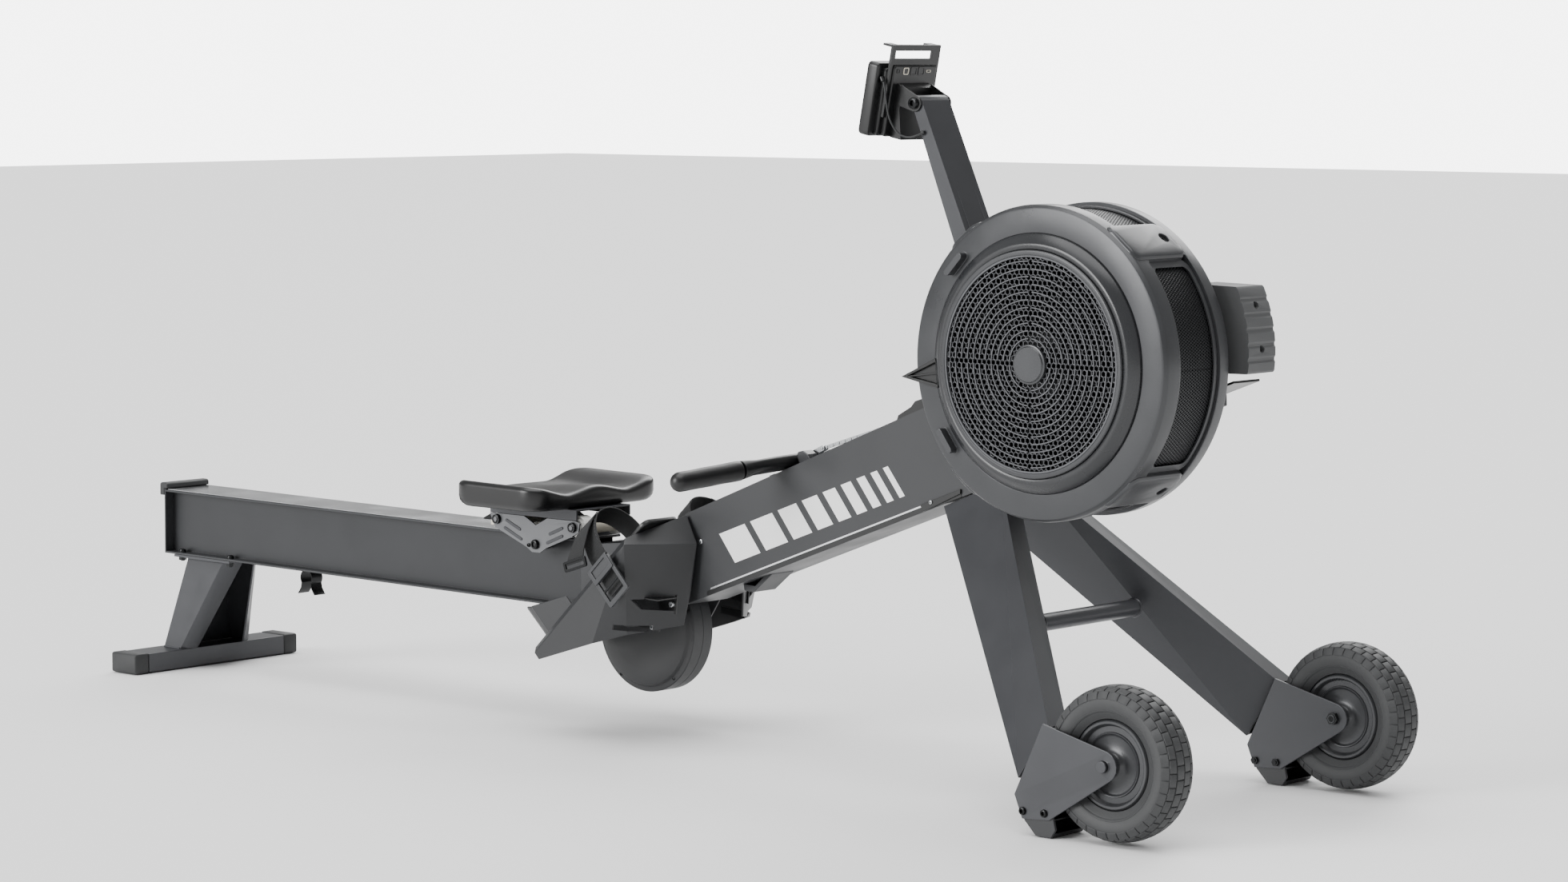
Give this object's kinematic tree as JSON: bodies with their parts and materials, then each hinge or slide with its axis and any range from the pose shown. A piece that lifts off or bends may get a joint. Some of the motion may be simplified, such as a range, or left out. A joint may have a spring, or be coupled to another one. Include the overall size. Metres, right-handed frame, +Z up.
{
  "type": "rowing machine",
  "caption": "Air rowing machine: rail with rolling seat, recoil handle, side-mounted fan with damper, tilting monitor, footrests, wheeled front legs and a rear stand.",
  "frame": {"origin": "bottom centre of the bounding box, on the floor plane", "axes": "+X forward, from the rail's rear end to the front wheels; +Y the rower's left; +Z up"},
  "size_m": [2.4521, 0.654, 1.1103],
  "materials": {
    "painted_frame": "satin powder coat, fine orange peel",
    "painted_beam": "matte powder coat",
    "rail_aluminium": "dark anodised, matte",
    "track_steel": "polished stainless strip",
    "plated_steel": "zinc plated",
    "fan_steel": "black paint",
    "grey_plastic": "moulded, fine texture",
    "black_plastic": "moulded, fine texture",
    "roller_nylon": "cream nylon",
    "black_rubber": "matte rubber",
    "seat_foam": "moulded integral-skin foam",
    "strap_webbing": "woven nylon webbing"
  },
  "bodies": {
    "frame": {"rear_leg": "painted_frame", "rear_foot_bar": "painted_frame", "front_leg_right": "painted_frame", "front_leg_left": "painted_frame", "leg_crossbar": "painted_frame", "wheel_plate_outer_right": "painted_frame", "wheel_plate_outer_left": "painted_frame", "wheel_plate_inner_right": "painted_frame", "wheel_plate_inner_left": "painted_frame", "monitor_arm": "painted_frame", "rail_end_plate": "painted_frame", "storage_clip": "painted_frame", "main_beam": "painted_beam", "foot_frame": "painted_beam", "rail": "rail_aluminium", "rail_track": "track_steel", "chain": "plated_steel", "fan_bearing": "plated_steel", "fan_back_cover": "grey_plastic", "fan_front_cover": "grey_plastic", "fan_grille": "grey_plastic", "footrest_right": "black_plastic", "footrest_left": "black_plastic", "recoil_cover_right": "black_plastic", "recoil_cover_left": "black_plastic", "chain_guide": "black_plastic", "leg_foot_right": "black_plastic", "leg_foot_left": "black_plastic", "rail_bumper": "black_rubber", "rear_foot_cap_right": "black_rubber", "rear_foot_cap_left": "black_rubber", "front_bumper": "black_rubber", "monitor_lead": "black_rubber", "strap_right": "strap_webbing", "strap_left": "strap_webbing"},
    "seat": {"seat_pad": "seat_foam", "seat_pan": "painted_frame", "carriage_plate_right": "painted_frame", "carriage_plate_left": "painted_frame"},
    "roller_front": {"roller_front": "roller_nylon"},
    "roller_rear": {"roller_rear": "roller_nylon"},
    "guide_right": {"guide_roller_right": "black_plastic"},
    "guide_left": {"guide_roller_left": "black_plastic"},
    "handle": {"handle_bar": "black_plastic", "grip_right": "black_rubber", "grip_left": "black_rubber"},
    "sprocket": {"drive_sprocket": "plated_steel"},
    "spool": {"recoil_spool": "black_plastic"},
    "fan_rotor": {"fan_wheel": "fan_steel"},
    "damper": {"damper_ring": "grey_plastic"},
    "monitor": {"monitor_body": "black_plastic"},
    "phone_clamp": {"phone_holder": "black_plastic"},
    "heel_right": {"heel_cup_right": "black_plastic"},
    "heel_left": {"heel_cup_left": "black_plastic"},
    "lever_right": {"buckle_right": "grey_plastic"},
    "lever_left": {"buckle_left": "grey_plastic"},
    "wheel_right": {"tyre_right": "black_rubber", "rim_right": "grey_plastic"},
    "wheel_left": {"tyre_left": "black_rubber", "rim_left": "grey_plastic"}
  },
  "joints": [
    {"name": "seat_slide", "type": "slide", "parent": "frame", "child": "seat", "axis": [-1, 0, 0.0084], "range_m": [0, 0.83]},
    {"name": "roller_front_spin", "type": "hinge", "parent": "seat", "child": "roller_front", "pos_m": [-0.1655, 0, 0.32549], "axis": [0, -1, 0], "continuous": true},
    {"name": "roller_rear_spin", "type": "hinge", "parent": "seat", "child": "roller_rear", "pos_m": [-0.341, 0, 0.32697], "axis": [0, -1, 0], "continuous": true},
    {"name": "guide_right_spin", "type": "hinge", "parent": "seat", "child": "guide_right", "pos_m": [-0.251, -0.045, 0.2915], "axis": [0, 1, 0], "continuous": true},
    {"name": "guide_left_spin", "type": "hinge", "parent": "seat", "child": "guide_left", "pos_m": [-0.251, 0.045, 0.2915], "axis": [0, 1, 0], "continuous": true},
    {"name": "handle_pull", "type": "slide", "parent": "frame", "child": "handle", "axis": [-0.9781, 0, 0.2079], "range_m": [0, 1.25], "stiffness_N_per_m": 12, "springref_m": -1.2},
    {"name": "sprocket_spin", "type": "hinge", "parent": "frame", "child": "sprocket", "pos_m": [0.9057, 0, 0.6535], "axis": [0, -1, 0], "continuous": true},
    {"name": "spool_spin", "type": "hinge", "parent": "frame", "child": "spool", "pos_m": [-0.04, 0, 0.17], "axis": [0, 1, 0], "continuous": true},
    {"name": "fan_spin", "type": "hinge", "parent": "frame", "child": "fan_rotor", "pos_m": [0.9057, 0, 0.6535], "axis": [0, -1, 0], "continuous": true},
    {"name": "damper_turn", "type": "hinge", "parent": "frame", "child": "damper", "pos_m": [0.9057, -0.215, 0.6535], "axis": [0, -1, 0], "range_deg": [-38, 18]},
    {"name": "monitor_tilt", "type": "hinge", "parent": "frame", "child": "monitor", "pos_m": [0.534, 0, 1.0195], "axis": [0, 1, 0], "range_deg": [-15, 20], "deforming": ["monitor_lead"]},
    {"name": "phone_slide", "type": "slide", "parent": "monitor", "child": "phone_clamp", "axis": [0.1942, 0, 0.981], "range_m": [0, 0.03]},
    {"name": "heel_right_slide", "type": "slide", "parent": "frame", "child": "heel_right", "axis": [0.7212, 0, 0.6928], "range_m": [0, 0.05]},
    {"name": "heel_left_slide", "type": "slide", "parent": "frame", "child": "heel_left", "axis": [0.7212, 0, 0.6928], "range_m": [0, 0.05]},
    {"name": "lever_right_turn", "type": "hinge", "parent": "frame", "child": "lever_right", "pos_m": [0.00583, -0.1805, 0.29199], "axis": [-0.7212, 0, -0.6928], "range_deg": [0, 70]},
    {"name": "lever_left_turn", "type": "hinge", "parent": "frame", "child": "lever_left", "pos_m": [0.00583, 0.1805, 0.29199], "axis": [0.7212, 0, 0.6928], "range_deg": [0, 70]},
    {"name": "wheel_right_spin", "type": "hinge", "parent": "frame", "child": "wheel_right", "pos_m": [1.1155, -0.2813, 0.1125], "axis": [0, 1, 0], "continuous": true},
    {"name": "wheel_left_spin", "type": "hinge", "parent": "frame", "child": "wheel_left", "pos_m": [1.1155, 0.2813, 0.1125], "axis": [0, 1, 0], "continuous": true}
  ],
  "couplings": [
    {"joint": "roller_front_spin", "follows": "seat_slide", "rad_per_m": 54.348},
    {"joint": "roller_rear_spin", "follows": "seat_slide", "rad_per_m": 54.348},
    {"joint": "guide_right_spin", "follows": "seat_slide", "rad_per_m": 100},
    {"joint": "guide_left_spin", "follows": "seat_slide", "rad_per_m": 100},
    {"joint": "sprocket_spin", "follows": "handle_pull", "rad_per_m": 69.93},
    {"joint": "spool_spin", "follows": "handle_pull", "rad_per_m": 18.182}
  ]
}
